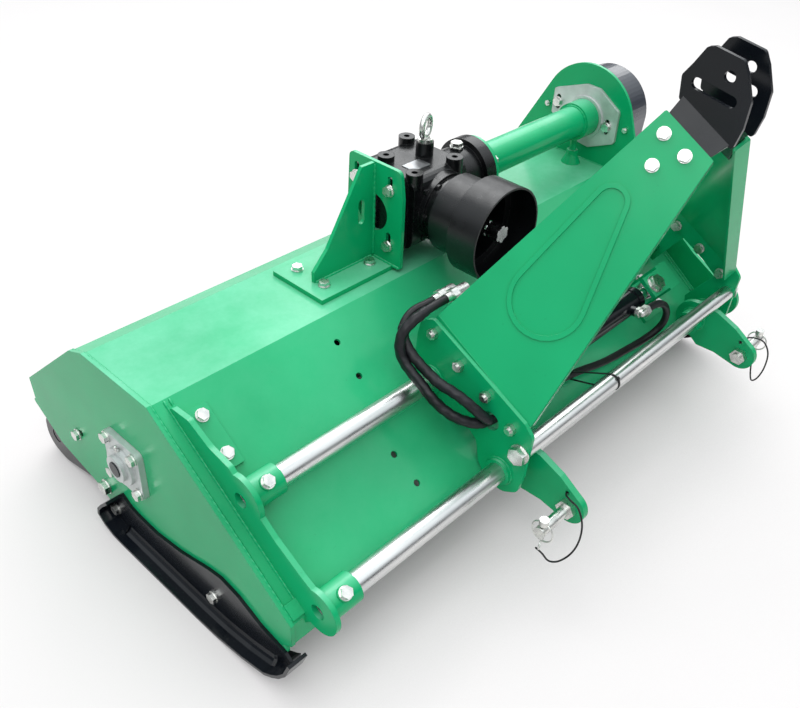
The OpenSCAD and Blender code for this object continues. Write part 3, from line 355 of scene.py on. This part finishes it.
cover_grey = paint("dark cover enamel", rgb(38, 42, 52), rgb(52, 58, 70), 0.32, 0.7)
plate = metal("bare label plate", rgb(150, 152, 154), rgb(186, 188, 190), (0.3, 0.4), 60,
              (1, 0.1, 1), 0.0003)
hose_rubber = rubber("hose rubber", rgb(9, 9, 12), rgb(19, 20, 24), (0.4, 0.55), 700)
sleeve_cloth = rubber("woven sleeve", rgb(9, 10, 13), rgb(22, 24, 30), (0.35, 0.55), 1400)
belt_rubber = rubber("belt rubber", rgb(16, 16, 16), rgb(30, 30, 31), (0.6, 0.8), 500)
rod = metal("chromed rod", rgb(196, 198, 200), rgb(222, 223, 224), (0.08, 0.16), 60)

wear = {
    green: """deck_shell side_plate_plain side_plate_belt rail_bracket_plain rail_bracket_belt
        gearbox_bracket shaft_tube adjuster carriage_plate_plain carriage_plate_belt lower_arms
        channels cylinder_lug""",
    black: "skid_plain skid_belt roller_arms roller top_link_plates rotor cylinder_barrel",
    zinc: "upper_rail lower_rail tie_bar",
    cast: "bearing_plain bearing_belt bearing_slide",
    ground: "input_shaft cross_shaft",
    rod: "piston_rod",
    iron: "hammers_a hammers_b hammers_c hammers_d upper_pulley lower_pulley",
    gearbox_black: "gearbox_housing",
    guard: "shaft_guard",
    cover_grey: "belt_cover",
    plate: "blank_plate",
    belt_rubber: "belts",
    hose_rubber: "hoses lanyards",
}
look = {name: m for m, names in wear.items() for name in names.split()}
for name, o in nodes.items():
    for s in o.material_slots:
        s.material = look.get(name, bolt_zinc)


# Cords
def sleeve(name, path):
    """Woven sleeve round a hose, gathered at its ends and loosely wrinkled between them."""
    path = fine(path, 0.0016)
    n = len(path)
    bm = bmesh.new()

    def section(i, s):
        ends = min(i, n - 1 - i)
        grow = 0.0008 if ends < 2 else 0.0014 if ends < 8 else 0.0019
        out = []
        for k in range(20):
            t = 2 * math.pi * k / 20
            r = HOSE_R + grow + (0.00035 * math.sin(s / 0.0031 + 2.1 * math.sin(t))
                                + 0.00025 * math.sin(s / 0.0083 + 3 * t) if ends > 7 else 0)
            out.append((r * math.cos(t), r * math.sin(t)))
        return out
    sweep(bm, path, section)
    # The slack sleeve lies flat where it passes the bracket at the end of the slide
    flat_x = -0.3073
    for v in bm.verts:
        v.co.x = max(v.co.x, flat_x)
    piece = solid(name, bm, sleeve_cloth, "carriage")
    return piece


hose_a = [(-169, -523.3, 292.2), (-184, -523.3, 292.2), (-206, -522, 292),
          (-229, -520, 291.5), (-241, -517, 293), (-256, -503, 310), (-268, -481, 330),
          (-277, -455, 342), (-282, -430, 348), (-283, -408, 355), (-283, -386, 364),
          (-283, -365, 374), (-279, -343, 388), (-271, -327, 405), (-256, -321, 419),
          (-236, -322, 429), (-214, -330, 435.6), (-196, -331, 436)]
hose_b = [(279, -523.3, 292.2), (296, -523.3, 292.2), (314, -524, 290), (336, -525, 283),
          (359, -527, 266), (373, -528, 240), (374, -525, 214), (360, -518, 194),
          (330, -510, 182), (290, -505, 180), (190, -498, 187), (90, -494, 211),
          (-20, -499, 240), (-140, -512, 261), (-190, -510, 271), (-229, -507.5, 275.5),
          (-252, -500, 281), (-274, -481, 290), (-290, -452, 305), (-298, -425, 325),
          (-299, -400, 341), (-299, -376, 354), (-299, -357, 368), (-297, -346, 389),
          (-289, -343, 413), (-268, -348, 433), (-244, -354, 445), (-218, -357, 450),
          (-192, -357, 450)]
for name, points in (("hose_short", hose_a), ("hose_long", hose_b)):
    path = smooth(points, 6)
    piece = curve(name, path, HOSE_R, hose_rubber, "carriage", 8)
    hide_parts("hoses")
    # Only the loop outside the carriage plate has a sleeve
    wrap = sleeve(name + "_sleeve", [q for q in path if q.x < -0.236 and q.y < 0.002])

lanyard = [(-170, -668, 182), (-190, -668, 183), (-202, -682, 188), (-208, -706, 186),
           (-212, -722, 160), (-214, -724, 120), (-218, -716, 84), (-230, -702, 62),
           (-246, -690, 66), (-258, -680, 88), (-268, -671, 104)]
for name, points in (("lanyard_plain", lanyard),
                     ("lanyard_belt", [(310 - x, y, z) for x, y, z in lanyard])):
    path = smooth(points, 6)
    piece = curve(name, path, LANYARD_R, hose_rubber, "carriage", 4)
    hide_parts("lanyards")


# Weld beads
def bead(name, runs, r, body):
    """Weld beads of radius r along runs, each a path and whether it closes."""
    step = 0.0016
    bm = bmesh.new()
    for path, closed in runs:
        if closed:
            path = fine(path + [path[0]], step)[:-1]
        else:
            path = fine(path, step)
        n = len(path)

        def section(i, s):
            ends = 1 if closed else min(1, 0.35 + 0.3 * min(i, n - 1 - i))
            w = r * ends * (1 + 0.10 * math.sin(s / 0.0019) + 0.05 * math.sin(s / 0.0071 + 1))
            return round_section(w, 8)
        sweep(bm, path, section, closed)
    solid(name, bm, green, body)


def line(*points):
    return [at(*q) for q in points], False


# y of the gusset's middle and z of the foot's top
gy, fz = DRIVE[0], 397
bead("welds_gearbox_bracket", [
    line((-118, gy - 78, fz), (-118, gy - 5, fz)), line((-118, gy + 5, fz), (-118, gy + 72, fz)),
    line((-274, gy - 4, fz), (-120, gy - 4, fz)), line((-274, gy + 4, fz), (-120, gy + 4, fz)),
    line((-118, gy - 4, fz + 2), (-118, gy - 4, 598)),
    line((-118, gy + 4, fz + 2), (-118, gy + 4, 598)),
], 0.0032, "deck")
bead("welds_deck", [
    line((x, -514, 152), (x, -183, 386), (x, 12, 387), (x, 58, 369), (x, 262, 193))
    for x in (-700.5, 621.5)
] + [line((x, -514, 152), (x, -183, 386)) for x in (-678, -668, 602, 612)], 0.0026, "deck")
bead("welds_collars", [
    (ring(x, *rail, 28.5), True) for x in (-667.5, 601.5) for rail in RAILS
], 0.0026, "deck")
bead("welds_lug", [
    line(on_slope(398, 268, 8), on_slope(398, 330, 8), on_slope(438, 330, 8),
         on_slope(438, 268, 8), on_slope(398, 268, 8)),
], 0.0028, "deck")
bead("welds_bushes", [
    (ring(x, *rail, 27.5), True) for x in (-233, -225, 543, 535) for rail in RAILS
] + [(ring(x, *RAILS[1], 27.5), True) for x in (-172.5, 482.5)], 0.0026, "carriage")
bead("welds_clevis", [
    line(on_slope(-224.5, 280, h), on_slope(-224.5, 318, h)) for h in (60.9, 70.9, 100.7, 110.7)
], 0.0024, "carriage")
bead("welds_shaft_tube", [
    (ring(x, *DRIVE, 38.5), True) for x in (562, 129)
], 0.0030, "deck")


# Cable tie that holds the long hose to the tie bar
def cable_tie():
    bm = bmesh.new()
    ring_points = []
    x = 62
    a, ra = Vector((-586, 253)), 16.9
    b, rb = Vector((-493.6, 216)), 8.9
    d = b - a
    w = math.atan2(d.y, d.x)
    q = math.acos((ra - rb) / d.length)
    for k in range(25):
        t = w + q + (2 * math.pi - 2 * q) * k / 24
        ring_points.append(at(x, a.x + ra * math.cos(t), a.y + ra * math.sin(t)))
    for k in range(17):
        t = w - q + 2 * q * k / 16
        ring_points.append(at(x, b.x + rb * math.cos(t), b.y + rb * math.sin(t)))
    n = len(ring_points)
    rings = []
    for i, p in enumerate(ring_points):
        t = (ring_points[(i + 1) % n] - ring_points[i - 1]).normalized()
        out = t.cross(Vector((1, 0, 0)))
        ridge = 0.0003 if i % 2 else 0.0
        rings.append([bm.verts.new(p + Vector((u, 0, 0)) + out * v) for u, v in (
            (-0.0022, -0.0006), (0.0022, -0.0006), (0.0022, 0.0006), (0.0012, 0.0007 + ridge),
            (-0.0012, 0.0007 + ridge), (-0.0022, 0.0006))])
    for i in range(n):
        a_, b_ = rings[i], rings[(i + 1) % n]
        for k in range(6):
            bm.faces.new((a_[k], a_[(k + 1) % 6], b_[(k + 1) % 6], b_[k]))
    c = at(x, -586 + 17 * math.cos(2.2), 253 + 17 * math.sin(2.2))
    head = bmesh.ops.create_cube(bm, size=0.007, matrix=Matrix.Translation(c)
                                 @ Matrix.Rotation(0.6, 4, "X"))
    edges = {e for v in head["verts"] for e in v.link_edges}
    bmesh.ops.bevel(bm, geom=sorted(edges, key=lambda e: e.index), offset=0.001, segments=2,
                    affect="EDGES")
    piece = solid("cable_tie", bm, guard, "carriage", False)


cable_tie()


# Grease nipples on the rotor bearings and on the bushes of the carriage
def nipple(bm, place, out):
    """One nipple at a place in millimetres, turned from radii and heights in metres."""
    out = Vector(out).normalized()
    m = out.to_track_quat("Z", "Y").to_matrix().to_4x4()
    m.translation = at(*place)
    outline = [(0.0, -0.001), (0.0046, -0.001), (0.0046, 0.003), (0.0026, 0.0036),
               (0.0026, 0.0078), (0.0018, 0.0086), (0.0030, 0.0100), (0.0034, 0.0112),
               (0.0024, 0.0128), (0.0, 0.0132)]
    rings = []
    for r, h in outline:
        if r:
            rings.append([bm.verts.new(m @ Vector((r * math.cos(math.pi * k / 6),
                                                   r * math.sin(math.pi * k / 6), h)))
                          for k in range(12)])
        else:
            rings.append([bm.verts.new(m @ Vector((0, 0, h)))])
    for a, b in zip(rings, rings[1:]):
        for k in range(12):
            quad = [a[k % len(a)], a[(k + 1) % len(a)], b[(k + 1) % len(b)], b[k % len(b)]]
            quad = list(dict.fromkeys(quad))
            bm.faces.new(quad)


for name, body, spots in (
        ("nipples_deck", "deck", [((-726, -88, 243.6), (-0.3, 0, 1)),
                                  ((647, -88, 243.6), (0.3, 0, 1))]),
        ("nipples_carriage", "carriage", [
            ((x, y - 15.5, z + 22.1), (0, -math.sin(SLOPE), math.cos(SLOPE)))
            for x in (-190, 490) for y, z in RAILS])):
    bm = bmesh.new()
    for place, out in spots:
        nipple(bm, place, out)
    solid(name, bm, bolt_zinc, body)


# Floor, backdrop and light
def pale_floor():
    """A pale floor that glows a little for rays that are seen, less where the object is near,
    which paints shade under and around the object.
    """
    far = 40
    mesh = bpy.data.meshes.new("floor")
    mesh.from_pydata([(-far, -far, FLOOR_Z), (far, -far, FLOOR_Z), (far, far, FLOOR_Z),
                      (-far, far, FLOOR_Z)], [], [(0, 1, 2, 3)])
    floor = bpy.data.objects.new("floor", mesh)
    bpy.context.scene.collection.objects.link(floor)
    n = Nodes("pale floor")
    c = n.noise(2, 2)
    n.join(n.ramp(c, 0, [(0.3, rgb(210, 204, 203)), (0.7, rgb(215, 209, 208))]), 0, n.bsdf,
           "Base Color")
    n.set(Roughness=0.7)
    path = n.new("LightPath")
    seen = n.new("Math", operation="MAXIMUM")
    n.join(path, "Is Camera Ray", seen, 0)
    n.join(path, "Is Glossy Ray", seen, 1)
    seen2 = n.new("Math", operation="MAXIMUM")
    n.join(seen, 0, seen2, 0)
    n.join(path, "Is Transmission Ray", seen2, 1)
    part = n.new("Math", operation="MULTIPLY")
    n.join(seen2, 0, part, 0)
    part.inputs[1].default_value = 0.64
    # Painted shade: ambient occlusion dims the glow near the object, a painted contact shadow that
    # also darkens the floor seen through holes.
    near = n.new("AmbientOcclusion", samples=8)
    near.inputs["Distance"].default_value = 0.7
    open_air = n.new("Math", operation="POWER")
    n.join(near, 1, open_air, 0)
    open_air.inputs[1].default_value = 1.4
    lit = n.new("Math", operation="MULTIPLY")
    n.join(part, 0, lit, 0)
    n.join(open_air, 0, lit, 1)
    glow = n.new("Emission")
    glow.inputs[0].default_value = (1, 1, 1, 1)
    mixed = n.new("MixShader")
    n.join(lit, 0, mixed, 0)
    n.join(n.bsdf, 0, mixed, 1)
    n.join(glow, 0, mixed, 2)
    n.join(mixed, 0, n.out, 0)
    mesh.materials.append(n.mat)


def studio():
    """A world that is dark at the horizon, bright above and white where the camera sees it."""
    world = bpy.data.worlds.new("studio")
    bpy.context.scene.world = world
    world.use_nodes = True
    t = world.node_tree
    t.nodes.clear()
    out = t.nodes.new("ShaderNodeOutputWorld")
    bg = t.nodes.new("ShaderNodeBackground")
    white = t.nodes.new("ShaderNodeBackground")
    white.inputs[0].default_value = (1, 1, 1, 1)
    pathw = t.nodes.new("ShaderNodeLightPath")
    mixw = t.nodes.new("ShaderNodeMixShader")
    coord = t.nodes.new("ShaderNodeTexCoord")
    sep = t.nodes.new("ShaderNodeSeparateXYZ")
    ramp = t.nodes.new("ShaderNodeValToRGB")
    ramp.color_ramp.elements[0].position = 0.15
    ramp.color_ramp.elements[0].color = (0.06, 0.062, 0.066, 1)
    ramp.color_ramp.elements[1].position = 0.65
    ramp.color_ramp.elements[1].color = (0.92, 0.97, 1, 1)
    t.links.new(coord.outputs["Generated"], sep.inputs[0])
    t.links.new(sep.outputs[2], ramp.inputs[0])
    t.links.new(ramp.outputs[0], bg.inputs[0])
    bg.inputs[1].default_value = 1.45
    t.links.new(pathw.outputs["Is Camera Ray"], mixw.inputs[0])
    t.links.new(bg.outputs[0], mixw.inputs[1])
    t.links.new(white.outputs[0], mixw.inputs[2])
    t.links.new(mixw.outputs[0], out.inputs[0])


def lamp(name, size, place, watts):
    """A soft rectangular lamp aimed at the middle of the object."""
    aim = (0, 0, -0.2)
    d = bpy.data.lights.new(name, "AREA")
    d.shape = "RECTANGLE"
    d.size, d.size_y = size
    d.energy = watts
    o = bpy.data.objects.new(name, d)
    bpy.context.scene.collection.objects.link(o)
    o.location = place
    o.rotation_euler = (Vector(aim) - Vector(place)).to_track_quat("-Z", "Y").to_euler()


pale_floor()
studio()
lamp("key", (2.4, 1.6), (0.6, 1.9, 3.0), 52)
lamp("sky", (2.8, 2.4), (2.3, 1.6, 2.1), 40)
lamp("fill", (2.5, 2.0), (-2.0, -1.5, 3.4), 38)
bpy.context.scene.view_settings.view_transform = "Standard"
